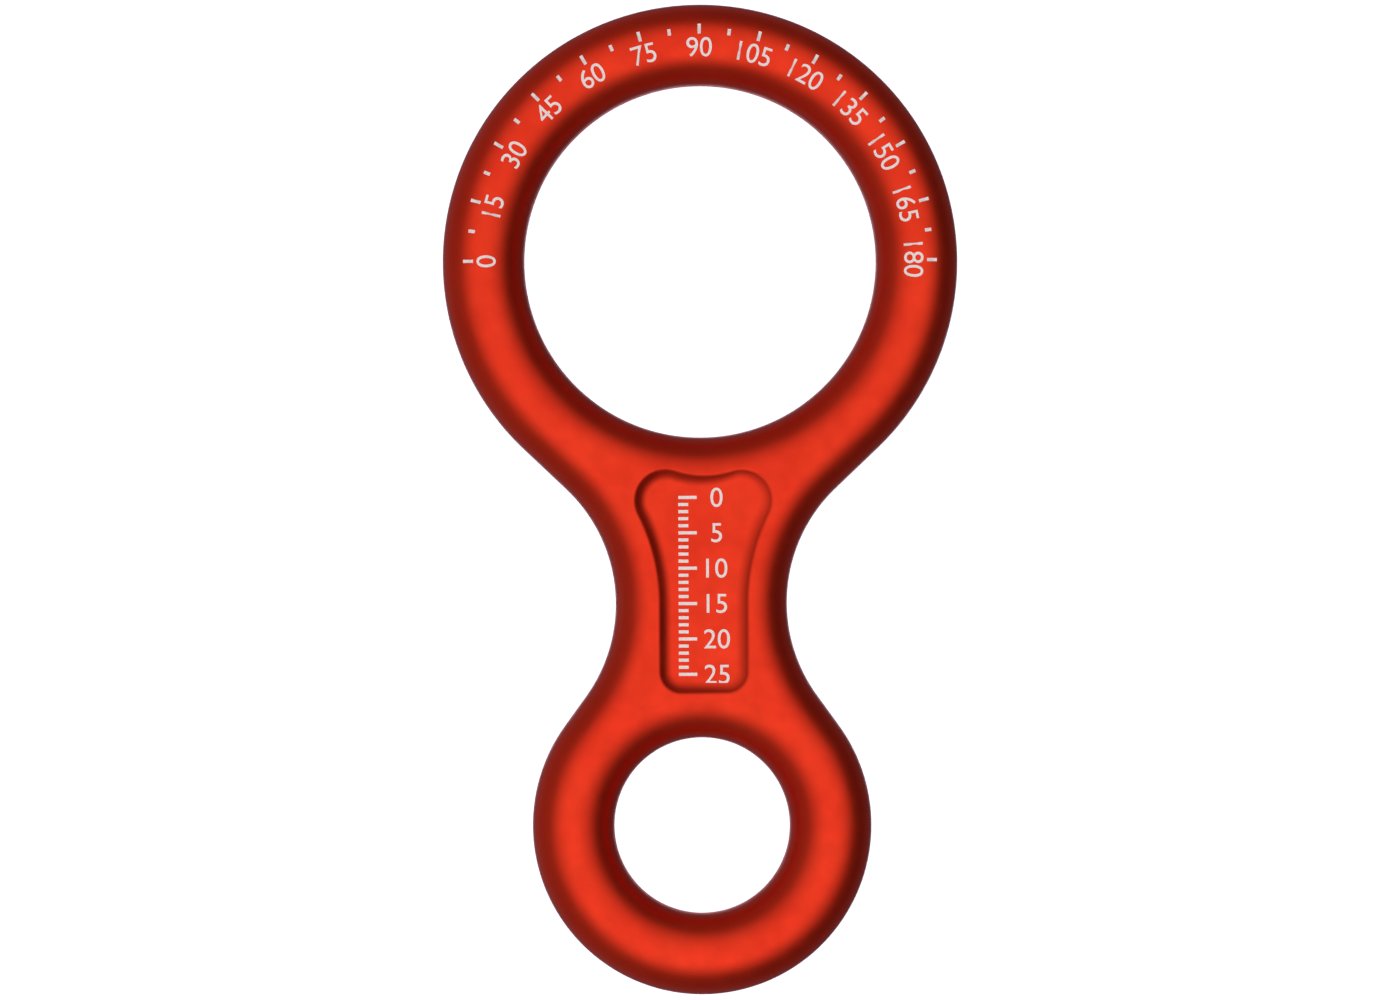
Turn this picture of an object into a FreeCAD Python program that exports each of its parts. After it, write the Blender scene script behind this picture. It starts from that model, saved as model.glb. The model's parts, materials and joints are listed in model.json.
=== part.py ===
import FreeCAD, Part
import os
from math import acos, atan2, ceil, cos, degrees, pi, sin, sqrt

# Figure eight descender, one solid forging: a large ring for the rope, a small ring for the
# karabiner, and a neck between them with a shallow pocket in each face.
# It lies flat. +X runs across it, +Y along it towards the rope ring, and +Z up.
# The origin is below the middle of its length, on the surface that it lies on.
# All lengths are in millimetres and all angles in radians.

# Rings
rope_hole_radius = 25.0
karabiner_hole_radius = 12.5
hole_spacing = 80.0
ring_width = 11.5

# Section of the bar: round flanks, with a straight land between them at the parting line and a
# flat crown on each face. The flanks leave some of both, however thin or narrow the bar is.
# A round is made of narrow straight strips, and the tolerance is how far one may cut inside it.
thickness = 11.0
flank_radius = 4.8
fullest_flank_share = 0.45
round_tolerance = 0.025

# Neck: its narrowest width, and the straight runs between its hollow sides and the two rings
neck_width = 24.2
rope_side_run = 8.3
karabiner_side_run = 5.3

# Pocket: the flat that is left between it and the round flanks, the shape of its edge, and the
# two radii of its wall, which rounds over its rim and runs out into its floor
pocket_depth = 0.8
pocket_side_margin = 0.5
pocket_rope_margin = 0.1
pocket_karabiner_margin = 1.25
pocket_dip = 0.45
pocket_ear_radius = 4.6
pocket_corner_radius = 3.4
pocket_rim_radius = 0.9
pocket_cove_radius = 2.4

# Sizes that follow from those above
rope_ring_radius = rope_hole_radius + ring_width
karabiner_ring_radius = karabiner_hole_radius + ring_width
overall_length = rope_ring_radius + hole_spacing + karabiner_ring_radius
flank = min(flank_radius, fullest_flank_share * thickness, fullest_flank_share * ring_width)
half_neck = neck_width / 2
half_thickness = thickness / 2
half_land = half_thickness - flank
wall_slope = acos(1 - pocket_depth / (pocket_rim_radius + pocket_cove_radius))

UP = FreeCAD.Vector(0, 0, 1)
ORIGIN = FreeCAD.Vector(0, 0, 0)


def across(x, y):
    """A point of the parting plane, at mid thickness."""
    return FreeCAD.Vector(x, y, half_thickness)


def polar(radius, angle):
    """A step of the given length in the given direction."""
    return FreeCAD.Vector(radius * cos(angle), radius * sin(angle), 0)


def direction(start, end):
    """The angle at which one point sees another."""
    return atan2(end.y - start.y, end.x - start.x)


def flipped(point):
    """The point's mirror image, on the other side of the long axis."""
    return FreeCAD.Vector(-point.x, point.y, point.z)


rope_centre = across(0, overall_length / 2 - rope_ring_radius)
karabiner_centre = rope_centre - FreeCAD.Vector(0, hole_spacing, 0)


# Outlines. They run anticlockwise with the metal on their left, as a list of stretches.
# A section is drawn in the XZ plane, with X pointing into the metal from the outline at zero.


class Turn:
    """A round stretch: it bulges outwards where its sweep is positive, and inwards where negative."""

    def __init__(self, centre, radius, start, sweep):
        self.centre = centre
        self.radius = radius
        self.start = start
        self.sweep = sweep

    def mirrored(self):
        start = pi - self.start - self.sweep
        return Turn(flipped(self.centre), self.radius, start, self.sweep)

    def carry(self, shape):
        """What a piece of the section leaves behind as it goes along the stretch."""
        inward = self.start + pi if self.sweep > 0 else self.start
        placed = shape.copy()
        placed.rotate(ORIGIN, UP, degrees(inward))
        placed.translate(self.centre + polar(self.radius, self.start))
        return placed.revolve(self.centre, UP, degrees(self.sweep))


class Run:
    """A straight stretch from one point to another."""

    def __init__(self, start, end):
        self.start = start
        self.end = end

    def mirrored(self):
        return Run(flipped(self.end), flipped(self.start))

    def carry(self, shape):
        """What a piece of the section leaves behind as it goes along the stretch."""
        placed = shape.copy()
        placed.rotate(ORIGIN, UP, degrees(direction(self.start, self.end) + pi / 2))
        placed.translate(self.start)
        return placed.extrude(self.end - self.start)


def hole(centre, radius):
    """A round hole's edge: one full turn, with the metal outside it."""
    return [Turn(centre, radius, 0, -2 * pi)]


def both_sides(top, right_side, bottom):
    """A closed outline from the stretches on the right, going up, and those that cross the axis."""
    left_side = [stretch.mirrored() for stretch in reversed(right_side)]
    return [top] + left_side + [bottom] + right_side


# Neck. On each side a circle hollows it out, joined to both rings by straight common tangents.
# The waist's place follows from its width, because each run is a leg of a right-angled triangle
# whose other leg is the sum of the two radii that it joins.


def waist_circle():
    """Centre and radius of the circle that hollows out the neck's right side."""
    rope_square = rope_ring_radius**2 - half_neck**2 + rope_side_run**2
    karabiner_square = karabiner_ring_radius**2 - half_neck**2 + karabiner_side_run**2
    ratio = (karabiner_ring_radius - half_neck) / (rope_ring_radius - half_neck)
    balance = hole_spacing**2 - karabiner_square + ratio * rope_square
    drop = balance / (hole_spacing + sqrt(hole_spacing**2 - (1 - ratio) * balance))
    radius = (drop**2 - rope_square) / (2 * (rope_ring_radius - half_neck))
    return rope_centre + FreeCAD.Vector(half_neck + radius, -drop, 0), radius


waist_centre, waist_radius = waist_circle()


def body_outline():
    """The forging's outer edge at the parting line."""
    rope_slant = atan2(rope_side_run, rope_ring_radius + waist_radius)
    rope_joint = direction(rope_centre, waist_centre) + rope_slant
    karabiner_slant = atan2(karabiner_side_run, karabiner_ring_radius + waist_radius)
    karabiner_joint = direction(karabiner_centre, waist_centre) - karabiner_slant
    upper_run = Run(
        waist_centre - polar(waist_radius, rope_joint),
        rope_centre + polar(rope_ring_radius, rope_joint),
    )
    lower_run = Run(
        karabiner_centre + polar(karabiner_ring_radius, karabiner_joint),
        waist_centre - polar(waist_radius, karabiner_joint),
    )
    hollow = Turn(waist_centre, waist_radius, karabiner_joint + pi, rope_joint - karabiner_joint)
    rope_arc = Turn(rope_centre, rope_ring_radius, rope_joint, pi - 2 * rope_joint)
    karabiner_arc = Turn(
        karabiner_centre, karabiner_ring_radius, pi - karabiner_joint, pi + 2 * karabiner_joint
    )
    return both_sides(rope_arc, [lower_run, hollow, upper_run], karabiner_arc)


# Pocket. Its sides follow the neck's hollow sides down to the waist and then run straight.
# Two round ears fill the corners by the rope ring, and the edge dips between them.


def ear_centre(side_radius):
    """Centre of the right ear, which touches the side arc and the rope hole's flank margin."""
    from_waist = side_radius + pocket_ear_radius
    margin = flank + pocket_rope_margin
    from_rope = rope_hole_radius + margin + pocket_ear_radius
    apart = rope_centre.distanceToPoint(waist_centre)
    along = (from_rope**2 - from_waist**2 + apart**2) / (2 * apart)
    turn = atan2(sqrt(from_rope**2 - along**2), along)
    return rope_centre + polar(from_rope, direction(rope_centre, waist_centre) - turn)


def pocket_outline():
    """The pocket's edge in the neck's flat face."""
    side_radius = waist_radius + flank + pocket_side_margin
    side_x = waist_centre.x - side_radius
    ear = ear_centre(side_radius)
    ear_joint = direction(waist_centre, ear)
    dip_y = rope_centre.y - rope_hole_radius - flank - pocket_rope_margin - pocket_dip
    rise = dip_y - ear.y
    dip_radius = (ear.x**2 + rise**2 - pocket_ear_radius**2) / (2 * (pocket_ear_radius - rise))
    dip_centre = across(0, dip_y + dip_radius)
    dip_joint = direction(ear, dip_centre)
    end_y = karabiner_centre.y + karabiner_hole_radius + flank + pocket_karabiner_margin
    corner = across(side_x - pocket_corner_radius, end_y + pocket_corner_radius)
    right_side = [
        Turn(corner, pocket_corner_radius, -pi / 2, pi / 2),
        Run(across(side_x, corner.y), across(side_x, waist_centre.y)),
        Turn(waist_centre, side_radius, pi, ear_joint - pi),
        Turn(ear, pocket_ear_radius, ear_joint - pi, dip_joint - ear_joint + pi),
    ]
    dip = Turn(dip_centre, dip_radius, dip_joint - pi, pi - 2 * dip_joint)
    end = Run(across(-corner.x, end_y), across(corner.x, end_y))
    return both_sides(dip, right_side, end)


# Sections. Their rounds are arcs, and the radii either side of a joint point the same way.


def section_point(inward, height):
    """A point of a section: its way into the metal and its height over the parting plane."""
    return FreeCAD.Vector(inward, 0, height)


def arc_strips(centre, radius, start, sweep):
    """Strips along an arc of a section, each between two points of the true round."""
    strips = ceil(abs(sweep) / 2 / acos(1 - round_tolerance / radius))
    turns = [start + sweep * step / strips for step in range(strips + 1)]
    points = [centre + section_point(radius * cos(turn), radius * sin(turn)) for turn in turns]
    return [Part.makeLine(*pair) for pair in zip(points, points[1:])]


def bar_section():
    """The bar's rounded side: lower flank, land and upper flank."""
    upper_flank = arc_strips(section_point(flank, half_land), flank, pi, -pi / 2)
    land = Part.makeLine(section_point(0, -half_land), section_point(0, half_land))
    lower_flank = [strip.mirror(ORIGIN, UP) for strip in upper_flank]
    return lower_flank + [land] + upper_flank


def pocket_section():
    """The pocket's wall and its foot. The wall is steepest where its two rounds meet."""
    rim_centre = section_point(0, half_thickness - pocket_rim_radius)
    foot_inset = (pocket_rim_radius + pocket_cove_radius) * sin(wall_slope)
    floor_height = half_thickness - pocket_depth
    cove_centre = section_point(foot_inset, floor_height + pocket_cove_radius)
    rim = arc_strips(rim_centre, pocket_rim_radius, pi / 2, -wall_slope)
    cove = arc_strips(cove_centre, pocket_cove_radius, -pi / 2 - wall_slope, wall_slope)
    return rim + cove, section_point(foot_inset, floor_height)


def carried(shape, outline):
    """A piece of the section, taken once round an outline."""
    return [stretch.carry(shape) for stretch in outline]


def loop(point, outline):
    """The closed wire that one point of the section draws round an outline."""
    return Part.Wire(carried(Part.Vertex(point), outline))


def flat_face(outer, inner):
    """A flat face inside one wire and outside the others."""
    return Part.makeFace([outer] + inner, "Part::FaceMakerBullseye")


def descender_body():
    """The forging as one closed skin: rounded sides, two flat faces and their pockets."""
    outline = body_outline()
    holes = [
        hole(rope_centre, rope_hole_radius),
        hole(karabiner_centre, karabiner_hole_radius),
    ]
    pocket = pocket_outline()
    edges = [outline] + holes
    sides = [strip for piece in bar_section() for edge in edges for strip in carried(piece, edge)]

    crown_edge = section_point(flank, half_thickness)
    rim_edge = section_point(0, half_thickness)
    wall, foot = pocket_section()
    openings = [loop(crown_edge, edge) for edge in holes] + [loop(rim_edge, pocket)]
    face = flat_face(loop(crown_edge, outline), openings)
    floor = flat_face(loop(foot, pocket), [])
    upper = [face, floor] + [strip for piece in wall for strip in carried(piece, pocket)]
    lower = [piece.mirror(across(0, 0), UP) for piece in upper]

    skin = Part.makeShell(sides + upper + lower)
    skin.sewShape()
    body = Part.makeSolid(skin)
    if body.Volume < 0:
        body.reverse()
    return body


os.makedirs("parts", exist_ok=True)
body = descender_body()
body.exportStep("parts/descender_body.step")
print(
    f"descender_body: valid {body.isValid()}, {len(body.Faces)} faces, {body.Volume:.1f} cubic mm,"
    f" flank {flank:.2f}, waist radius {waist_radius:.2f}"
)
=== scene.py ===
# %% [markdown]
# # A figure eight descender in red anodised aluminium
#
# The real object is one forging: a large ring that a climbing rope runs through, a small ring that
# hangs on a karabiner, and a neck with a shallow pocket between them. It has no moving parts and
# no joints, so everything here is about one smooth skin, one finish, and the light on them.
#
# The lesson starts from the engineer's solid, which gives the true sizes. It lies flat on the XY
# plane, with its long axis along Y and the large ring towards +Y. All lengths are in metres.

# %% Load the solid
import json
import math

import bpy
import numpy as np
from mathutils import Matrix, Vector
from mathutils.geometry import delaunay_2d_cdt


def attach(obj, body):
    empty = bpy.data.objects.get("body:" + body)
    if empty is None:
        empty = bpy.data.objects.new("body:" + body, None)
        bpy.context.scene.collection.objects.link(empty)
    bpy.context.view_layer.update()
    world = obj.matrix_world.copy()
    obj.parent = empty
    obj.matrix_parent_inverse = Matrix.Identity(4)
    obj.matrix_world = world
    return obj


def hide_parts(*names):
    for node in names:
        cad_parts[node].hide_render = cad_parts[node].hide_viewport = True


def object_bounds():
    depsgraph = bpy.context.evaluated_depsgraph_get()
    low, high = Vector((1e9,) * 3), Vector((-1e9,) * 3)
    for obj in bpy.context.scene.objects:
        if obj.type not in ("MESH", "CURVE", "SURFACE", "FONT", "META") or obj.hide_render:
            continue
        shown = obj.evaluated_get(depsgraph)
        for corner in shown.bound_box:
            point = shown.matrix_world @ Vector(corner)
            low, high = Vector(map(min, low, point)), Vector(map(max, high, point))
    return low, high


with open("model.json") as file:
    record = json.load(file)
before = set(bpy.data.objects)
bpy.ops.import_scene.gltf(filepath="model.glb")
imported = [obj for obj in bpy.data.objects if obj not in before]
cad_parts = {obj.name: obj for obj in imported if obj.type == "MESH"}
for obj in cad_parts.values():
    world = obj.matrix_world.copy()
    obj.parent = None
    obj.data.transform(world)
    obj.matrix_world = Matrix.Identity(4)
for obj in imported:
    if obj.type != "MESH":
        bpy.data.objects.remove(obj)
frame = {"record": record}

mm = 0.001
cad_low, cad_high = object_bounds()
print("the solid reaches from", cad_low.to_tuple(5), "to", cad_high.to_tuple(5))

# %% [markdown]
# ## The sizes
#
# The two holes are the places where other gear fastens, so the solid's record states where they
# are and how wide. What the record doesn't say, such as the neck's width, is repeated here as a
# real size, in the same words that the drawing of the solid uses.
#
# The pocket is where the drawing is left most, by about a third of a millimetre. In the
# photograph its left wall is dark and narrow and its right wall faint, and it lies a little right
# of the middle. A floor that rises towards the right and an outline moved the same way come close
# to that, and the solid keeps the plain, even pocket that its drawing means.
#
# Its three margins are measured from where the rounded edges of the neck and of the holes end,
# one flank's width inside them, and its other sizes are radii, apart from the dip.

# %% The sizes that the solid gives
mounts = {mount["name"]: mount for mount in frame["record"]["mounts"]}


def hole_size(name):
    """The middle of a hole in the XY plane, and its radius."""
    mount = mounts[name]
    return np.array(mount["pos_m"][:2]), mount["dims"]["r_mm"] * mm


rope_centre, rope_hole = hole_size("rope_ring")
karabiner_centre, karabiner_hole = hole_size("karabiner_eye")
ring_width = 11.5 * mm
half_thickness = (cad_high.z - cad_low.z) / 2
middle_z = cad_low.z + half_thickness
rope_ring = rope_hole + ring_width
karabiner_ring = karabiner_hole + ring_width
print(f"ring width {ring_width / mm:.2f} mm, thickness {2 * half_thickness / mm:.2f} mm")

# %% The sizes of the neck and its pocket
half_neck = 12.1 * mm
rope_side_run = 8.3 * mm
karabiner_side_run = 5.3 * mm

flank = 4.8 * mm
pocket_depth = 0.7 * mm
pocket_lean = 0.03
pocket_shift = 0.4 * mm
pocket_side_margin = 0.7 * mm
pocket_rope_margin = -0.2 * mm
pocket_karabiner_margin = 1.25 * mm
pocket_dip = 0.45 * mm
pocket_ear = 4.7 * mm
pocket_corner = 3.4 * mm
pocket_rim = 1.0 * mm
pocket_cove = 2.9 * mm

# %% [markdown]
# ## Outlines
#
# Seen from above, every edge of the forging is a chain of arcs and straight runs that flow into
# one another. A stretch is kept as two arrays: its points, and at each point the direction that
# leads into the metal. The second array is what makes the rest easy, because any parallel line,
# such as the top of a rounded edge, is then the points plus a distance times that direction.
#
# Only the right half of an outline is written down. The left half is its mirror image.


# %% Arcs and runs
def turn(centre, radius, start, sweep, step):
    """An arc as points and inward directions.

    A point is centre + radius * (cos angle, sin angle), for even steps of the angle from start
    to start + sweep. The metal is on the left, so it is inside the arc where the sweep is
    positive and outside it where the sweep is negative.
    """
    count = max(2, round(radius * abs(sweep) / step))
    angle = start + sweep * np.linspace(0, 1, count + 1)
    outward = np.stack([np.cos(angle), np.sin(angle)], axis=1)
    return centre + radius * outward, -np.sign(sweep) * outward


def run(start, end, step):
    """A straight run: even shares of the way from start to end, with the metal on the left."""
    length = np.linalg.norm(end - start)
    share = np.linspace(0, 1, max(2, round(length / step)) + 1)[:, None]
    along = (end - start) / length
    inward = np.array([-along[1], along[0]])
    return start + share * (end - start), np.repeat(inward[None], len(share), axis=0)


def whole(right_half):
    """A closed outline from the stretches of its right half, which starts and ends on the axis."""
    parts = [[array[:-1] for array in stretch] for stretch in right_half[:-1]] + [right_half[-1]]
    points, inward = (np.concatenate(arrays) for arrays in zip(*parts))
    flip = np.array([-1, 1])
    return (
        np.concatenate([points, points[-2:0:-1] * flip]),
        np.concatenate([inward, inward[-2:0:-1] * flip]),
    )


def hole(centre, radius, step):
    """A round hole's edge, with the metal outside it."""
    points, inward = turn(centre, radius, 0, -2 * math.pi, step)
    return points[:-1], inward[:-1]


def towards(start, end):
    """The angle at which one point sees another."""
    return math.atan2(end[1] - start[1], end[0] - start[0])


def polar(radius, angle):
    """A step of the given length in the given direction."""
    return radius * np.array([math.cos(angle), math.sin(angle)])


# %% [markdown]
# The waist is hollowed out by one circle on each side. Straight runs lead from it to both rings,
# and each run is one leg of a right-angled triangle whose other leg is the sum of the two radii
# that it joins. Both triangles share the waist circle, which gives its place without trial and
# error: the difference of the two equations is linear in the radius, and what is left is a
# quadratic equation for how far the circle lies below the rope ring's centre.


# %% The waist circle and the outer outline
def waist_circle():
    """Centre and radius of the circle that hollows out the neck's right side."""
    spacing = rope_centre[1] - karabiner_centre[1]
    rope_square = rope_ring**2 - half_neck**2 + rope_side_run**2
    karabiner_square = karabiner_ring**2 - half_neck**2 + karabiner_side_run**2
    ratio = (karabiner_ring - half_neck) / (rope_ring - half_neck)
    balance = spacing**2 - karabiner_square + ratio * rope_square
    drop = balance / (spacing + math.sqrt(spacing**2 - (1 - ratio) * balance))
    radius = (drop**2 - rope_square) / (2 * (rope_ring - half_neck))
    return rope_centre + np.array([half_neck + radius, -drop]), radius


waist_centre, waist = waist_circle()
outline_step = 0.5 * mm
quarter = math.pi / 2


def body_outline():
    """The outer edge: small ring, run, waist, run and large ring, then the mirror image."""
    step = outline_step
    rope_aside = math.atan2(rope_side_run, rope_ring + waist)
    karabiner_aside = math.atan2(karabiner_side_run, karabiner_ring + waist)
    rope_joint = towards(rope_centre, waist_centre) + rope_aside
    karabiner_joint = towards(karabiner_centre, waist_centre) - karabiner_aside
    low_start = karabiner_centre + polar(karabiner_ring, karabiner_joint)
    low_end = waist_centre - polar(waist, karabiner_joint)
    high_start = waist_centre - polar(waist, rope_joint)
    high_end = rope_centre + polar(rope_ring, rope_joint)
    return whole([
        turn(karabiner_centre, karabiner_ring, -quarter, karabiner_joint + quarter, step),
        run(low_start, low_end, step),
        turn(waist_centre, waist, karabiner_joint + math.pi, rope_joint - karabiner_joint, step),
        run(high_start, high_end, step),
        turn(rope_centre, rope_ring, rope_joint, quarter - rope_joint, step),
    ])


outer_edge = body_outline()
rope_edge = hole(rope_centre, rope_hole, outline_step)
karabiner_edge = hole(karabiner_centre, karabiner_hole, outline_step)
edges = [outer_edge, rope_edge, karabiner_edge]
outer_reach = 5.4 * mm
reaches = np.array([outer_reach, ring_width - outer_reach, ring_width - outer_reach])
print(f"waist radius {waist / mm:.2f} mm, outline of {len(outer_edge[0])} points")

# %% [markdown]
# The pocket's sides run parallel to the waist and then straight down. Two round ears fill its
# upper corners, beside the large hole, and the edge dips a little between them.

# %% The pocket's outline
pocket_step = 0.25 * mm


def ear_centre(side):
    """Centre of the right ear: it touches the side arc from inside and clears the large hole."""
    from_waist = side + pocket_ear
    from_rope = rope_hole + flank + pocket_rope_margin + pocket_ear
    apart = np.linalg.norm(waist_centre - rope_centre)
    along = (from_rope**2 - from_waist**2 + apart**2) / (2 * apart)
    aside = math.atan2(math.sqrt(from_rope**2 - along**2), along)
    return rope_centre + polar(from_rope, towards(rope_centre, waist_centre) - aside)


def pocket_outline():
    """The pocket's edge: end, corner, side, side arc, ear and dip, then the mirror image."""
    step = pocket_step
    side = waist + flank + pocket_side_margin
    side_x = waist_centre[0] - side
    ear = ear_centre(side)
    ear_joint = towards(waist_centre, ear)
    dip_y = rope_centre[1] - rope_hole - flank - pocket_rope_margin - pocket_dip
    rise = dip_y - ear[1]
    dip = (ear[0] ** 2 + rise**2 - pocket_ear**2) / (2 * (pocket_ear - rise))
    dip_centre = np.array([0, dip_y + dip])
    dip_joint = towards(ear, dip_centre)
    end_y = karabiner_centre[1] + karabiner_hole + flank + pocket_karabiner_margin
    corner = np.array([side_x - pocket_corner, end_y + pocket_corner])
    points, inward = whole([
        run(np.array([0, end_y]), np.array([corner[0], end_y]), step),
        turn(corner, pocket_corner, -quarter, quarter, step),
        run(np.array([side_x, corner[1]]), np.array([side_x, waist_centre[1]]), step),
        turn(waist_centre, side, math.pi, ear_joint - math.pi, step),
        turn(ear, pocket_ear, ear_joint - math.pi, dip_joint - ear_joint + math.pi, step),
        turn(dip_centre, dip, dip_joint - math.pi, quarter - dip_joint, step),
    ])
    return points + [pocket_shift, 0], inward


pocket_edge = pocket_outline()
print(f"pocket outline of {len(pocket_edge[0])} points")

# %% [markdown]
# ## The bar's section
#
# Both rings feel like a round bar that has been pressed a little flat. A superellipse says just
# that: |x / a| to the power p plus |z / b| to the power p is 1. With p = 2 it is an ellipse, and
# as p grows it swells towards its corners. A power of 2.4 keeps within an eighth of a millimetre
# of the solid, whose edges are quarter circles with a narrow flat between them, and it has no
# joint anywhere that a highlight could catch on.
#
# In the photograph the highlight runs a little outside the middle of each ring. So the curve
# reaches further in from a hole's edge than from the outer edge, and both meet at the crown.
#
# The same curve serves the neck. Height depends only on how deep a point lies inside the nearest
# edge, as a share of that edge's reach, and from one whole reach inwards the face is flat.

# %% The superellipse and its outward direction
section_power = 2.4
flank_share = 0.7
flank_rows = 16


def flank_rise(reach, low_rows):
    """Distance in from the edge, height over mid thickness, and outward direction of each row.

    With an angle t, the curve is x = a * cos(t) ** (2 / p) and z = b * sin(t) ** (2 / p). Its
    outward direction is cos(t) ** (2 - 2 / p) / a across and sin(t) ** (2 - 2 / p) / b up. The
    first rows are at the given heights, and even steps of the angle lead on from them to the
    place that lies the flank's share of the reach inside the edge.
    """
    last = math.acos((1 - flank_share) ** (section_power / 2))
    within = np.arcsin((low_rows / half_thickness) ** (section_power / 2))
    beyond = np.linspace(0, last, flank_rows + 1)
    angle = np.concatenate([within, beyond[beyond > within[-1]]])
    cosine, sine = np.cos(angle), np.sin(angle)
    inset = reach * (1 - cosine ** (2 / section_power))
    height = half_thickness * sine ** (2 / section_power)
    across = -(cosine ** (2 - 2 / section_power)) / reach
    up = sine ** (2 - 2 / section_power) / half_thickness
    length = np.hypot(across, up)
    return inset, height, across / length, up / length


def crown(share, reach):
    """Height and slope of the face where a point lies the given share of a reach inside an edge.

    Height is b * (1 - u ** p) ** (1 / p), with u the share of the reach still to go, and the
    slope is its derivative. Past the reach both stay as they are at the crown.
    """
    left = 1 - np.minimum(share, 1)
    rest = 1 - left**section_power
    height = half_thickness * rest ** (1 / section_power)
    steep = half_thickness / reach * rest ** (1 / section_power - 1)
    return height, steep * left ** (section_power - 1)


# %% [markdown]
# The two halves of the forging die meet half way up. What squeezes out between them is trimmed and
# blasted, which leaves a low ridge round all three edges. It is a few hundredths of a millimetre
# high, and only seen from the side, as a thin line where the light changes.

# %% The seam
seam_half_width = 0.3 * mm
seam_height = 0.05 * mm
seam_rows = 5


def seam(height):
    """How far the seam stands out at each height z over mid thickness, and the slope of that.

    Within the half width w it is h * (1 - (z / w) ** 2) ** 2, a bell that starts and ends flat.
    """
    share = np.minimum(height / seam_half_width, 1)
    rest = 1 - share**2
    return seam_height * rest**2, -4 * seam_height / seam_half_width * share * rest


def flank_section(reach):
    """The whole flank with its seam: the upper half, and the lower half as its mirror image.

    A ridge tilts the outward direction up by its slope times the part that points across.
    """
    low_rows = np.linspace(0, seam_half_width, seam_rows)
    inset, height, across, up = flank_rise(reach, low_rows)
    out, slope = seam(height)
    up = up + slope * across
    length = np.hypot(across, up)
    upper = inset - out, height, across / length, up / length
    lower = [sign * row[:0:-1] for sign, row in zip((1, -1, 1, -1), upper)]
    return [np.concatenate(halves) for halves in zip(lower, upper)]


# %% [markdown]
# ## Skins
#
# A section carried along an outline is a grid: the outline's points one way and the section's
# rows the other. Each strip is worked out with its true outward directions, because they are
# known here exactly, and Blender would otherwise have to guess them from the facets.
#
# What lies between the strips is almost flat, with several holes, and no grid fits it. A Delaunay
# triangulation does: it links given points into the best-shaped triangles and keeps the edges
# that it is told to keep.


# %% Carry a section round an outline
def carried(edge, inset, height, across, up):
    """The grid of points edge + inset * inward at the given heights, and its outward directions."""
    points, inward = edge
    plan = points[:, None] + inset[None, :, None] * inward[:, None]
    level = middle_z + np.broadcast_to(height, plan.shape[:2])
    sideways = across[None, :, None] * inward[:, None]
    upright = np.broadcast_to(up, plan.shape[:2])
    return np.dstack([plan, level]), np.dstack([sideways, upright])


def grid_faces(index):
    """The triangles of a grid of point numbers that closes on itself along its first side."""
    here, there = index, np.roll(index, -1, axis=0)
    a, b, c, d = here[:, :-1], there[:, :-1], there[:, 1:], here[:, 1:]
    halves = [np.stack(corners, -1).reshape(-1, 3) for corners in ((a, b, c), (a, c, d))]
    return np.concatenate(halves)


def depth_inside(points, edge):
    """How deep points lie inside an edge, and the direction that leads away from it.

    The depth is the way from the nearest outline point, measured along its inward direction.
    """
    outline, inward = edge
    apart = ((points[:, None] - outline[None]) ** 2).sum(axis=2)
    nearest = apart.argmin(axis=1)
    return ((points - outline[nearest]) * inward[nearest]).sum(axis=1), inward[nearest]


def nearest_edge(points):
    """For each point the least share of a reach, the edge that it is for, and the way inwards."""
    depths, inward = zip(*(depth_inside(points, edge) for edge in edges))
    shares, inward = np.array(depths) / reaches[:, None], np.array(inward)
    nearest = shares.argmin(axis=0)
    every = np.arange(len(points))
    return shares[nearest, every], nearest, inward[nearest, every]


def crown_surface(points):
    """Height over mid thickness and outward direction of the face at the given points."""
    share, nearest, inward = nearest_edge(points)
    height, slope = crown(np.maximum(share, flank_share), reaches[nearest])
    upward = np.column_stack([-slope[:, None] * inward, np.ones(len(points))])
    return height, upward / np.linalg.norm(upward, axis=1)[:, None]


# %% A mesh that grows by whole arrays
class Skin:
    """Points, outward directions and triangles, with each new patch numbered after the last."""

    def __init__(self):
        self.points = []
        self.outward = []
        self.faces = []
        self.count = 0

    def add_points(self, points, outward):
        """Adds points of any array shape and returns their numbers in that shape."""
        numbers = self.count + np.arange(points[..., 0].size).reshape(points.shape[:-1])
        self.points.append(points.reshape(-1, 3))
        self.outward.append(outward.reshape(-1, 3))
        self.count += numbers.size
        return numbers

    def add_faces(self, faces):
        self.faces.append(faces)

    def mesh(self, name):
        """The finished mesh, smooth, with the outward directions that were worked out."""
        points, faces = np.concatenate(self.points), np.concatenate(self.faces)
        made = bpy.data.meshes.new(name)
        made.from_pydata(points, [], faces)
        made.shade_smooth()
        made.normals_split_custom_set_from_vertices(np.concatenate(self.outward))
        return made


# %% Triangles between given edges
same_point = 1e-9


def ring_links(loops):
    """The points of closed loops in one array, and the links that run round each loop."""
    starts = np.cumsum([0] + [len(loop) for loop in loops])
    rounds = [start + np.arange(len(loop)) for start, loop in zip(starts, loops)]
    links = np.concatenate([np.column_stack([here, np.roll(here, -1)]) for here in rounds])
    return np.concatenate(loops), links


def triangulated(plan, links, wanted):
    """A Delaunay triangulation that keeps the links: points, triangles and old point numbers.

    The triangles run anticlockwise. Wanted takes the middles of all of them and says which ones
    to keep.
    """
    made = delaunay_2d_cdt(plan.tolist(), links.tolist(), [], 0, same_point)
    points, faces = np.array(made[0]), np.array(made[2])
    corner = points[faces]
    side, other = corner[:, 1] - corner[:, 0], corner[:, 2] - corner[:, 0]
    backwards = side[:, 0] * other[:, 1] < side[:, 1] * other[:, 0]
    faces[backwards] = faces[backwards][:, ::-1]
    return points, faces[wanted(corner.mean(axis=1))], made[3]


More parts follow.
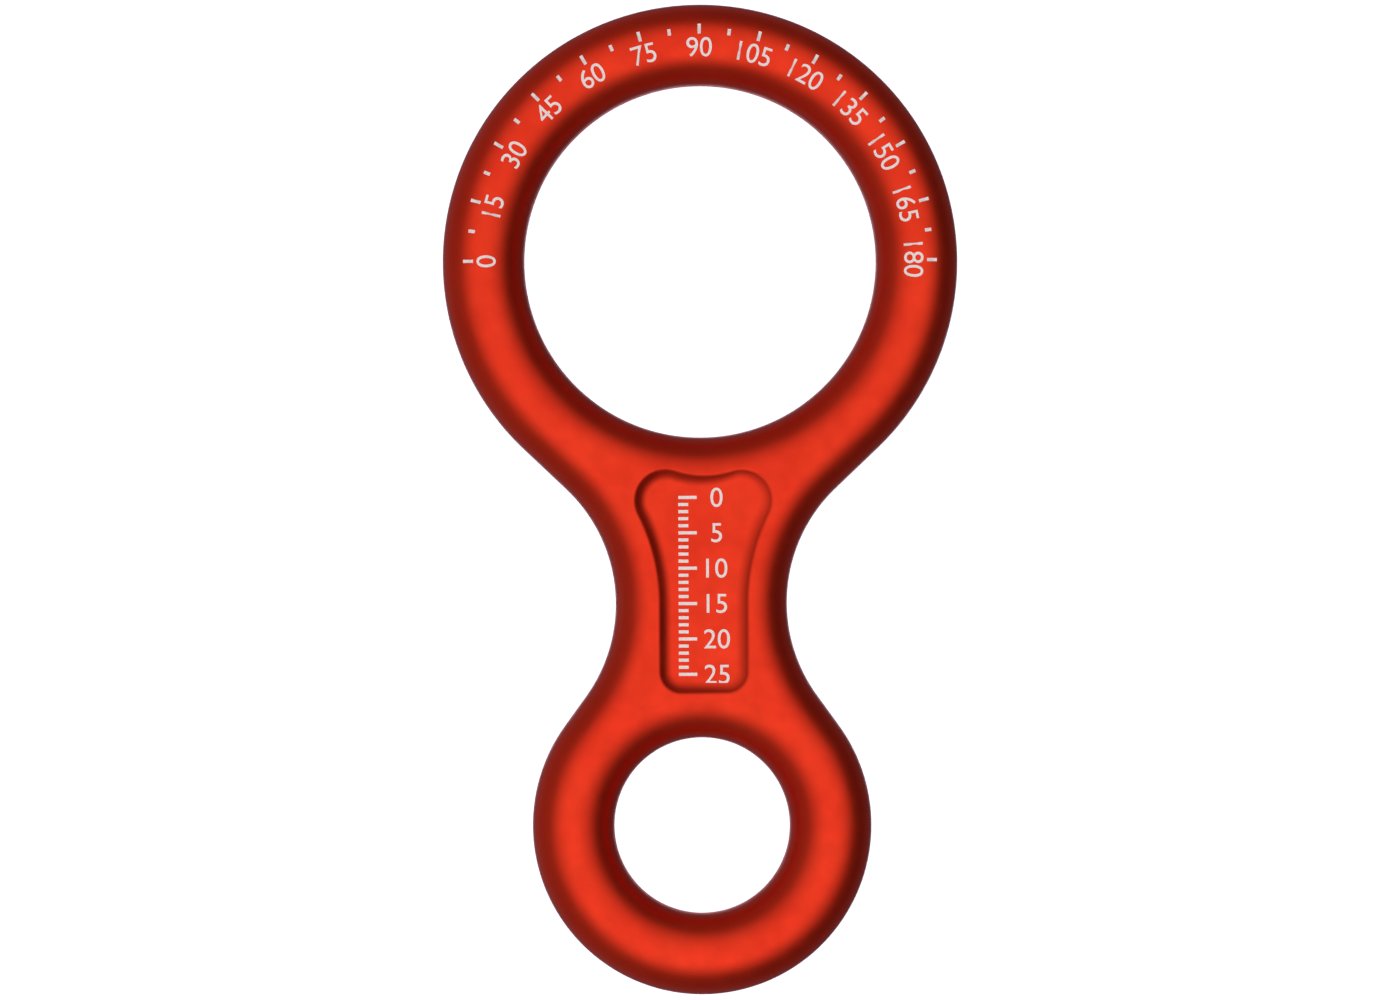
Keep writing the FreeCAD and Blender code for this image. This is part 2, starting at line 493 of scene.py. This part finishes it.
def patch(loops, extra, wanted):
    """Triangles over the points of loops and some extra ones, by their numbers in that order."""
    plan, links = ring_links(loops)
    points, faces, old = triangulated(np.concatenate([plan, extra]), links, wanted)
    return np.array([numbers[0] for numbers in old])[faces]


# %% [markdown]
# ## The forging
#
# Three strips make the rounded sides: one round the outside and one in each hole. They start and
# stop a little short of the middle of the bar, and two flat-looking faces close what is left. The
# faces still rise by an eighth of a millimetre, which the eye sees as a soft highlight along each
# ring, so they get rows of points of their own.


# %% The pocket's wall
rim_rows = 8
cove_rows = 14


def wall_section():
    """The pocket's wall: an arc over its rim, then a hollow arc that runs out into its floor.

    Both arcs meet at the wall's steepest slope w, where cos(w) = 1 - depth / (rim + cove). For
    each row it says how far into the pocket it lies, which share of the depth is still left
    below it, and its slope.
    """
    steepest = math.acos(1 - pocket_depth / (pocket_rim + pocket_cove))
    foot = (pocket_rim + pocket_cove) * math.sin(steepest)
    over = np.linspace(0, steepest, rim_rows)
    under = np.linspace(steepest, 0, cove_rows)[1:]
    slope = np.concatenate([over, under])
    inset = np.concatenate([pocket_rim * np.sin(over), foot - pocket_cove * np.sin(under)])
    left_over_rim = pocket_depth - pocket_rim * (1 - np.cos(over))
    left_over_cove = pocket_cove * (1 - np.cos(under))
    left = np.concatenate([left_over_rim, left_over_cove])
    return inset, left / pocket_depth, slope


def pocket_floor(plan):
    """Height of the floor over mid thickness: a plane that rises a little towards the right."""
    return half_thickness - pocket_depth + pocket_lean * plan[..., 0]


def pocket_wall():
    """The wall as a grid of points and outward directions, from the face down to the floor.

    Height is the floor's height plus the share of the drop that is left. The wall is steeper
    than its section says where the pocket is deeper, by the same factor.
    """
    points, inward = pocket_edge
    inset, share, slope = wall_section()
    rim_height, rim_outward = crown_surface(points)
    plan = points[:, None] + inset[None, :, None] * inward[:, None]
    ground = pocket_floor(plan)
    drop = rim_height[:, None] - ground
    sideways = (np.tan(slope) * drop / pocket_depth)[..., None] * inward[:, None]
    sideways[..., 0] -= pocket_lean * (1 - share)
    outward = np.dstack([sideways, np.ones(drop.shape)])
    outward /= np.linalg.norm(outward, axis=2)[..., None]
    outward[:, 0] = rim_outward
    return np.dstack([plan, middle_z + ground + drop * share]), outward


# %% Both faces, their pockets and the sides
def unmoved(points, outward):
    """The patch as it is, on the upper side."""
    return points, outward


def mirrored(points, outward):
    """The same patch on the underside."""
    return points * [1, 1, -1] + [0, 0, 2 * middle_z], outward * [1, 1, -1]


crown_shares = [0.76, 0.82, 0.88, 0.94]
share_slack = 0.001


def parallel(edge, distance):
    """The line that lies at a distance inside an edge: its points plus distance * inward."""
    points, inward = edge
    return points + distance * inward


def crown_rows():
    """Points along the domed part of the face, in rows parallel to the edges.

    A row is kept only where its own edge is the nearest one, and where the pocket leaves room.
    """
    rows = [(edge, reach, share) for edge, reach in zip(edges, reaches) for share in crown_shares]
    rows.append((outer_edge, outer_reach, 1))
    points = np.concatenate([parallel(edge, share * reach) for edge, reach, share in rows])
    wanted = np.concatenate([np.full(len(edge[0]), share) for edge, reach, share in rows])
    own = nearest_edge(points)[0] > wanted - share_slack
    clear = depth_inside(points, pocket_edge)[0] < -pocket_step
    return points[own & clear]


def descender_mesh():
    """The forging's whole skin as one closed mesh."""
    skin = Skin()
    strips = []
    for edge, reach in zip(edges, reaches):
        strips.append(skin.add_points(*carried(edge, *flank_section(reach))))
        skin.add_faces(grid_faces(strips[-1]))

    wall = pocket_wall()
    foot = wall[0][:, -1, :2]
    rows = crown_rows()
    row_height, row_outward = crown_surface(rows)
    row_points = np.column_stack([rows, middle_z + row_height])

    def on_face(middle):
        """Inside the strips and outside the pocket."""
        inside = nearest_edge(middle)[0] > flank_share
        return inside & (depth_inside(middle, pocket_edge)[0] < 0)

    def on_floor(middle):
        """Inside the foot of the pocket's wall."""
        return depth_inside(middle, (foot, pocket_edge[1]))[0] > 0

    loops = [parallel(edge, flank_share * reach) for edge, reach in zip(edges, reaches)]
    face = patch(loops + [pocket_edge[0]], rows, on_face)
    ground = patch([foot], np.empty((0, 2)), on_floor)

    for row, placed, order in ((-1, unmoved, 1), (0, mirrored, -1)):
        wall_index = skin.add_points(*placed(*wall))
        row_index = skin.add_points(*placed(row_points, row_outward))
        rims = [strip[:, row] for strip in strips] + [wall_index[:, 0], row_index]
        skin.add_faces(np.concatenate(rims)[face][:, ::order])
        skin.add_faces(wall_index[:, -1][ground][:, ::order])
        skin.add_faces(grid_faces(wall_index)[:, ::order])
    return skin.mesh("descender")


descender = bpy.data.objects.new("descender", descender_mesh())
bpy.context.scene.collection.objects.link(descender)
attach(descender, "root")
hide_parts("descender_body")
print(f"the forging has {len(descender.data.polygons)} triangles")

# %% [markdown]
# ## Laser marks
#
# A laser burns the dye away and leaves pale, slightly rough metal. The large ring carries a plain
# dial scale in degrees, and the pocket a plain ruler scale in millimetres.
#
# A mark is drawn flat first, as outlines: those of digits come from Blender's text, and a stroke
# is a thin rectangle. A lattice of points is laid over them, and all of it is triangulated, so
# that the shapes can bend. A triangle belongs to a mark where a ray from its middle crosses the
# outlines an odd number of times. Last, every point is laid on the metal by formula, and the
# sheet gets a thickness of a few hundredths of a millimetre, with its lower side in the metal.


# %% Flat marks
stroke_width = 0.44 * mm
digit_weight_share = 0.034
lattice_step = 0.35 * mm


def digits(words, size, place):
    """The outlines of a number, centred on a place: their points, and links between these."""
    curve = bpy.data.curves.new("digits", "FONT")
    curve.body = words
    curve.fill_mode = "NONE"
    curve.offset = digit_weight_share
    drawn = bpy.data.objects.new("digits", curve)
    mesh = bpy.data.meshes.new_from_object(drawn)
    bpy.data.objects.remove(drawn)
    plan = np.empty(3 * len(mesh.vertices))
    mesh.vertices.foreach_get("co", plan)
    links = np.empty(2 * len(mesh.edges), dtype=int)
    mesh.edges.foreach_get("vertices", links)
    plan = size * plan.reshape(-1, 3)[:, :2]
    return plan - (plan.min(axis=0) + plan.max(axis=0)) / 2 + place, links.reshape(-1, 2)


def stroke(start, end):
    """The outline of a thin rectangle from one point to another, as points and links."""
    start, end = np.array(start), np.array(end)
    along = (end - start) / np.linalg.norm(end - start)
    aside = stroke_width / 2 * np.array([-along[1], along[0]])
    return ring_links([np.array([start - aside, end - aside, end + aside, start + aside])])


def flat_marks(shapes):
    """All outlines filled with small triangles, as points in a plane and their triangles."""
    starts = np.cumsum([0] + [len(plan) for plan, links in shapes])
    plan = np.concatenate([plan for plan, links in shapes])
    links = np.concatenate([links + start for (plan, links), start in zip(shapes, starts)])
    low, high = plan.min(axis=0), plan.max(axis=0)
    across, along = (np.arange(low[axis], high[axis], lattice_step) for axis in (0, 1))
    lattice = np.stack(np.meshgrid(across, along), -1).reshape(-1, 2)

    def marked(middle):
        """Whether a ray towards +X from each point crosses an odd number of links."""
        first, last = plan[links[:, 0]], plan[links[:, 1]]
        level = middle[:, 1, None]
        spans = (first[:, 1] > level) != (last[:, 1] > level)
        climb = last[:, 1] - first[:, 1]
        share = (level - first[:, 1]) / np.where(climb == 0, 1, climb)
        beyond = first[:, 0] + share * (last[:, 0] - first[:, 0]) > middle[:, 0, None]
        return (spans & beyond).sum(axis=1) % 2 == 1

    points, faces, old = triangulated(np.concatenate([plan, lattice]), links, marked)
    used, faces = np.unique(faces, return_inverse=True)
    return points[used], faces.reshape(-1, 3)


# %% Lay marks on the metal
mark_rise = 0.03 * mm


def laid(name, plan, faces, height, outward):
    """A thin closed sheet on the metal.

    Its upper side is the metal's surface plus the rise along the outward direction, its lower
    side is the same with minus, and a rim of triangles joins them along every edge that only
    one triangle has.
    """
    surface = np.column_stack([plan, middle_z + height])
    ways = np.concatenate([faces[:, [0, 1]], faces[:, [1, 2]], faces[:, [2, 0]]])
    count = len(plan)
    shared = np.isin(ways[:, 0] * count + ways[:, 1], ways[:, 1] * count + ways[:, 0])
    rim = ways[~shared]
    band = np.column_stack([rim[:, ::-1], rim + count])
    sides = [band[:, [0, 1, 2]], band[:, [0, 2, 3]]]
    skin = np.concatenate([faces, faces[:, ::-1] + count, *sides])
    points = np.concatenate([surface + mark_rise * outward, surface - mark_rise * outward])
    mesh = bpy.data.meshes.new(name)
    mesh.from_pydata(points, [], skin)
    made = bpy.data.objects.new(name, mesh)
    bpy.context.scene.collection.objects.link(made)
    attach(made, "root")
    print(f"{name}: {len(mesh.polygons)} triangles")
    return made


# %% [markdown]
# The dial runs over the upper half of the large ring. Its flat shapes stand on a straight line,
# whose length becomes the angle: a point at distance u along the line and v above it goes to the
# radius r + v and to the angle 180 degrees minus u / r.

# %% The dial on the large ring
dial_radius = 30.9 * mm
dial_degrees = 180
dial_digits = 3.9 * mm
number_height = -0.7 * mm
tick_foot = 1.15 * mm
short_tick = 0.9 * mm
long_tick = 1.4 * mm
number_step = 15


def dial_scale():
    """Ticks outside and numbers inside, standing on a straight line as long as the arc."""
    shapes = []
    for step in range(2 * dial_degrees // number_step + 1):
        along = math.radians(step * number_step / 2) * dial_radius
        tick = short_tick if step % 2 else long_tick
        shapes.append(stroke((along, tick_foot), (along, tick_foot + tick)))
        if step % 2 == 0:
            number = str(step * number_step // 2)
            shapes.append(digits(number, dial_digits, (along, number_height)))
    return shapes


def on_ring(plan):
    """Bends a straight line of marks round the large ring, from its left side over its top."""
    angle = math.pi - plan[:, 0] / dial_radius
    radius = dial_radius + plan[:, 1]
    return rope_centre + radius[:, None] * np.column_stack([np.cos(angle), np.sin(angle)])


dial_plan, dial_faces = flat_marks(dial_scale())
dial_plan = on_ring(dial_plan)
dial_marks = laid("dial_marks", dial_plan, dial_faces, *crown_surface(dial_plan))

# %% The ruler in the pocket
ruler_top = 0.3 * mm
ruler_marks = 25
ruler_number_step = 5
ruler_short_tick = 1.4 * mm
ruler_long_tick = 2.6 * mm
ruler_foot = -3.2 * mm
ruler_digits = 3.9 * mm
ruler_numbers = 2.2 * mm


def ruler_scale():
    """A tick for every millimetre, longer at every fifth, with numbers beside the long ones."""
    shapes = []
    for mark in range(ruler_marks + 1):
        level = ruler_top - mark * mm
        numbered = mark % ruler_number_step == 0
        tick = ruler_long_tick if numbered else ruler_short_tick
        shapes.append(stroke((ruler_foot, level), (ruler_foot + tick, level)))
        if numbered:
            shapes.append(digits(str(mark), ruler_digits, (ruler_numbers, level)))
    return shapes


ruler_plan, ruler_faces = flat_marks(ruler_scale())
upwards = np.tile([-pocket_lean, 0, 1], (len(ruler_plan), 1)) / math.hypot(pocket_lean, 1)
pocket_marks = laid("pocket_marks", ruler_plan, ruler_faces, pocket_floor(ruler_plan), upwards)

# %% [markdown]
# ## Anodised aluminium
#
# The metal is blasted with fine beads, dyed and sealed. The dye lies in a clear layer over bare
# metal, so the colour is that of the reflection itself: a metallic shader with a red base.
#
# Two things keep it from looking like plastic. The blasting leaves dimples a fifth of a
# millimetre wide, which a bump makes and which spread every highlight. And the bath colours the
# metal a little unevenly, over a centimetre or so, while its gloss changes over a few millimetres.


# %% Helpers for finishes
def new_material(name):
    """A node material with its shader, ready to be wired."""
    made = bpy.data.materials.new(name)
    made.use_nodes = True
    return made, made.node_tree, made.node_tree.nodes["Principled BSDF"]


def grain(tree, size, detail=2.0):
    """Soft random values from 0 to 1 whose lumps are about the given size across."""
    place = tree.nodes.new("ShaderNodeTexCoord")
    noise = tree.nodes.new("ShaderNodeTexNoise")
    noise.inputs["Scale"].default_value = 1 / size
    noise.inputs["Detail"].default_value = detail
    tree.links.new(place.outputs["Object"], noise.inputs["Vector"])
    return noise.outputs["Fac"]


def spread_to(tree, value, low, high, start=0.3, end=0.7):
    """A value from start to end, stretched so that it runs from low to high."""
    change = tree.nodes.new("ShaderNodeMapRange")
    ends = {"From Min": start, "From Max": end, "To Min": low, "To Max": high}
    for socket, amount in ends.items():
        change.inputs[socket].default_value = amount
    tree.links.new(value, change.inputs["Value"])
    return change.outputs["Result"]


def worked_out(tree, operation, first, second):
    """A calculation with two values, each of them a number or another node's output."""
    made = tree.nodes.new("ShaderNodeMath")
    made.operation = operation
    for socket, value in zip(made.inputs, (first, second)):
        if isinstance(value, bpy.types.NodeSocket):
            tree.links.new(value, socket)
        else:
            socket.default_value = value
    return made.outputs["Value"]


def bumped(tree, height, depth):
    """The surface direction over a relief of the given depth."""
    bump = tree.nodes.new("ShaderNodeBump")
    bump.inputs["Distance"].default_value = depth
    tree.links.new(height, bump.inputs["Height"])
    return bump.outputs["Normal"]


def blended(tree, share, low, high):
    """A colour from low to high by a share from 0 to 1."""
    ramp = tree.nodes.new("ShaderNodeValToRGB")
    for element, colour in zip(ramp.color_ramp.elements, (low, high)):
        element.color = (*colour, 1)
    tree.links.new(share, ramp.inputs["Fac"])
    return ramp.outputs["Color"]


# %% The red finish
dimple = 0.2 * mm
dimple_depth = 0.004 * mm
dye_patch = 9 * mm
gloss_patch = 2.5 * mm
dark_dye = (0.79, 0.038, 0.0145)
light_dye = (0.83, 0.046, 0.0165)
dye_roughness = (0.38, 0.45)


def make_metal(tree, shader, colour, roughness, normal):
    """Makes a shader metallic, with its colour, roughness and surface direction from patterns."""
    shader.inputs["Metallic"].default_value = 1.0
    tree.links.new(colour, shader.inputs["Base Color"])
    tree.links.new(roughness, shader.inputs["Roughness"])
    tree.links.new(normal, shader.inputs["Normal"])


def anodised_finish():
    """Dyed metal: uneven colour, uneven gloss and fine dimples."""
    made, tree, shader = new_material("anodised_red")
    colour = blended(tree, spread_to(tree, grain(tree, dye_patch), 0, 1), dark_dye, light_dye)
    roughness = spread_to(tree, grain(tree, gloss_patch, 3.0), *dye_roughness)
    normal = bumped(tree, grain(tree, dimple, 1.0), dimple_depth)
    make_metal(tree, shader, colour, roughness, normal)
    return made


descender.data.materials.append(anodised_finish())

# %% [markdown]
# Where the laser has been, the dye is gone and the metal is rough and nearly white. Its beam
# leaves a grain of about a tenth of a millimetre.

# %% The laser's finish
laser_grain = 0.12 * mm
laser_depth = 0.006 * mm
dark_metal = (0.93, 0.82, 0.78)
light_metal = (1.0, 0.94, 0.90)
laser_roughness = (0.6, 0.5)


def laser_finish():
    """Bare metal with a fine pale grain."""
    made, tree, shader = new_material("laser_mark")
    speckle = grain(tree, laser_grain, 1.0)
    colour = blended(tree, spread_to(tree, speckle, 0, 1), dark_metal, light_metal)
    roughness = spread_to(tree, speckle, *laser_roughness)
    normal = bumped(tree, speckle, laser_depth)
    make_metal(tree, shader, colour, roughness, normal)
    return made


bare_metal = laser_finish()
for marks in (dial_marks, pocket_marks):
    marks.data.materials.append(bare_metal)

# %% [markdown]
# ## The room
#
# Metal shows its surroundings more than it shows itself, so the stage does most of the work. In
# the photograph the flanks that face left are 1.7 times as bright as those that face right. So
# the room is grey all round and grows darker from left to right, by the X part of the direction.

# %% The room
room_tint = (0.92, 0.95, 1.08)
left_grey = 0.32
right_grey = 0.08


def room_level(tree, way):
    """How bright the room is in a level direction, from its left side to its right side."""
    parts = tree.nodes.new("ShaderNodeSeparateXYZ")
    tree.links.new(way, parts.inputs["Vector"])
    return spread_to(tree, parts.outputs["X"], left_grey, right_grey, -1, 1)


def make_room():
    """The world: one tint, at the level of each direction."""
    world = bpy.data.worlds.new("room")
    bpy.context.scene.world = world
    world.use_nodes = True
    tree = world.node_tree
    way = tree.nodes.new("ShaderNodeTexCoord")
    background = tree.nodes["Background"]
    background.inputs["Color"].default_value = (*room_tint, 1)
    tree.links.new(room_level(tree, way.outputs["Generated"]), background.inputs["Strength"])


make_room()

# %% [markdown]
# ## The floor
#
# The photograph has a white ground and no shadow, and yet the metal's sides are dark. Either the
# ground was whitened afterwards, or the metal lay on a clear sheet, high above a white ground that
# the lens saw straight below and the sides of the metal didn't. This stage builds the second.
#
# The floor is nearly black and glows with painted light: a white pool far down, fading to dark
# round its rim, and from there on as grey as the room, lighter to the left like the room itself.
# A satin sheet lies between it and the metal. It is a little cloudy, so the metal's shadow falls
# on it, and glossy, so it mirrors the metal when it is seen from the side. Both fade out around
# the metal, so that the sheet has no edge and the stage no horizon.

# %% The floor
floor_depth = 1.5
floor_half_size = 40.0
floor_colour = (0.02, 0.02, 0.02)
pool_light = 1.3
pool_radius = 0.37
pool_rim = 0.62
room_start = 3.0
rim_share = 0.35


def make_dull(shader, colour):
    """Gives a shader a colour and takes its gloss away."""
    shader.inputs["Base Color"].default_value = (*colour, 1)
    shader.inputs["Roughness"].default_value = 1.0
    shader.inputs["Specular IOR Level"].default_value = 0.0


def level_distance(tree):
    """The level direction from the middle of the stage to a point, and how far away it is."""
    place = tree.nodes.new("ShaderNodeTexCoord")
    flat, direction, length = (tree.nodes.new("ShaderNodeVectorMath") for _ in range(3))
    flat.operation, direction.operation, length.operation = "MULTIPLY", "NORMALIZE", "LENGTH"
    flat.inputs[1].default_value = (1, 1, 0)
    tree.links.new(place.outputs["Object"], flat.inputs[0])
    for node in (direction, length):
        tree.links.new(flat.outputs["Vector"], node.inputs[0])
    return direction.outputs["Vector"], length.outputs["Value"]


def floor_finish():
    """Light given off: the pool's, plus the room's level times a share that grows outwards."""
    made, tree, shader = new_material("floor")
    make_dull(shader, floor_colour)
    direction, distance = level_distance(tree)
    # Painted light: the floor itself glows in a white pool under the metal, fading out at its rim.
    pool = spread_to(tree, distance, pool_light, 0, pool_radius, pool_rim)
    share = spread_to(tree, distance, rim_share, 1, pool_rim, room_start)
    # Painted light beyond the pool: the floor glows with the room's grey, lighter to the left.
    room = worked_out(tree, "MULTIPLY", room_level(tree, direction), share)
    shader.inputs["Emission Color"].default_value = (*room_tint, 1)
    total = worked_out(tree, "ADD", room, pool)
    tree.links.new(total, shader.inputs["Emission Strength"])
    return made


# %% The clear sheet
sheet_gap = 0.02 * mm
sheet_cloud = 0.16
head_on_mirror = 0.04
sheet_gloss = 0.12
sheet_reach = 0.3
sheet_end = 1.5
sheet_colour = (0.9, 0.9, 0.9)


def mirror_share(tree):
    """How much of the light a clear sheet mirrors: m + (1 - m) * (1 - cos angle) ** 5."""
    slant = tree.nodes.new("ShaderNodeLayerWeight")
    power = worked_out(tree, "POWER", slant.outputs["Facing"], 5)
    return spread_to(tree, power, head_on_mirror, 1, 0, 1)


def mixed(tree, share, first, second):
    """One shader that turns into another one as the share goes from 0 to 1."""
    mix = tree.nodes.new("ShaderNodeMixShader")
    tree.links.new(share, mix.inputs["Fac"])
    tree.links.new(first, mix.inputs[1])
    tree.links.new(second, mix.inputs[2])
    return mix.outputs["Shader"]


def sheet_finish():
    """Mostly clear, a little cloudy, and glossy, more so from the side. It fades with distance."""
    made, tree, cloud = new_material("sheet")
    clear = tree.nodes.new("ShaderNodeBsdfTransparent")
    gloss = tree.nodes.new("ShaderNodeBsdfGlossy")
    gloss.inputs["Roughness"].default_value = sheet_gloss
    make_dull(cloud, sheet_colour)
    near = spread_to(tree, level_distance(tree)[1], 1, 0, sheet_reach, sheet_end)
    cloudy = worked_out(tree, "MULTIPLY", near, sheet_cloud)
    glossy = worked_out(tree, "MULTIPLY", near, mirror_share(tree))
    body = mixed(tree, cloudy, clear.outputs["BSDF"], cloud.outputs["BSDF"])
    face = mixed(tree, glossy, body, gloss.outputs["BSDF"])
    tree.links.new(face, tree.nodes["Material Output"].inputs["Surface"])
    return made


# %% Lay both squares under the metal
def level_square(name, height, finish):
    """A square that lies flat below the object."""
    mesh = bpy.data.meshes.new(name)
    corners = floor_half_size * np.array([[-1, -1], [1, -1], [1, 1], [-1, 1]])
    points = np.column_stack([corners, np.full(len(corners), height)])
    mesh.from_pydata(points, [], [(0, 1, 2, 3)])
    mesh.materials.append(finish)
    square = bpy.data.objects.new(name, mesh)
    bpy.context.scene.collection.objects.link(square)
    print(f"the {name} lies {(cad_low.z - height) / mm:.2f} mm below the metal")


level_square("floor", cad_low.z - floor_depth, floor_finish())
level_square("sheet", cad_low.z - sheet_gap, sheet_finish())

# %% [markdown]
# ## Lamps and camera
#
# One big soft lamp hangs overhead, and a small one beside it, out on the small ring's side, which
# is a little brighter in the photograph. They make the bright band along the top of each ring.
# How fast the big lamp dims away from its axis decides how fast that band fades down the flanks.
# The axis leans by nearly two degrees, for the good of slopes that face right or away from the
# small ring. It is a small correction, found by trying lamps against the photograph.

# %% The lamps
lamp_height = 0.95
big_size = 3.2
big_radiance = 1.16
big_spread = 99
small_size = 0.35
small_radiance = 0.75


def softbox(name, place, target, size, radiance, spread=180):
    """A round lamp that looks as bright as its radiance from straight ahead.

    Its power is pi times its area times its radiance. A spread below 180 degrees makes the lamp
    look dimmer from the side, by the tangent of the angle, and Blender then keeps the power, so
    the power is lowered by (tan a - a) / tan a, with a half of the spread.
    """
    lamp = bpy.data.lights.new(name, "AREA")
    lamp.shape = "DISK"
    lamp.size = size
    lamp.energy = math.pi * radiance * math.pi * size**2 / 4
    if spread < 180:
        half = math.radians(spread / 2)
        lamp.spread = 2 * half
        lamp.energy *= 1 - half / math.tan(half)
    holder = bpy.data.objects.new(name, lamp)
    holder.location = place
    holder.rotation_euler = (Vector(target) - Vector(place)).to_track_quat("-Z", "Y").to_euler()
    holder.visible_camera = False
    bpy.context.scene.collection.objects.link(holder)


big_place, big_target = (-0.04, -0.02, lamp_height), (-0.065, -0.035, 0)
small_place, small_target = (0, -0.25, lamp_height), (cad_low + cad_high) / 2
softbox("overhead", big_place, big_target, big_size, big_radiance, big_spread)
softbox("small_overhead", small_place, small_target, small_size, small_radiance)

# %% [markdown]
# The camera looks straight down. In the photograph both holes are round to within two percent and
# show no inner wall on any side, so its lens did the same, or was several degrees off at most. The
# distance can't be read from it, so it is that of an ordinary close-up, and the width of the view
# then gives the focal length. The long axis is turned by a fifth of a degree, and so is the camera.

# %% The camera
camera_distance = 0.9
frame_width = 198.9 * mm
frame_middle = (-0.13 * mm, -0.07 * mm)
roll = math.radians(-0.22)

camera = bpy.data.objects.new("camera", bpy.data.cameras.new("camera"))
camera.data.lens = camera.data.sensor_width * camera_distance / frame_width
camera.location = (*frame_middle, middle_z + camera_distance)
camera.rotation_euler = (0, 0, roll)
bpy.context.scene.collection.objects.link(camera)
bpy.context.scene.camera = camera
bpy.context.scene.view_settings.view_transform = "Standard"
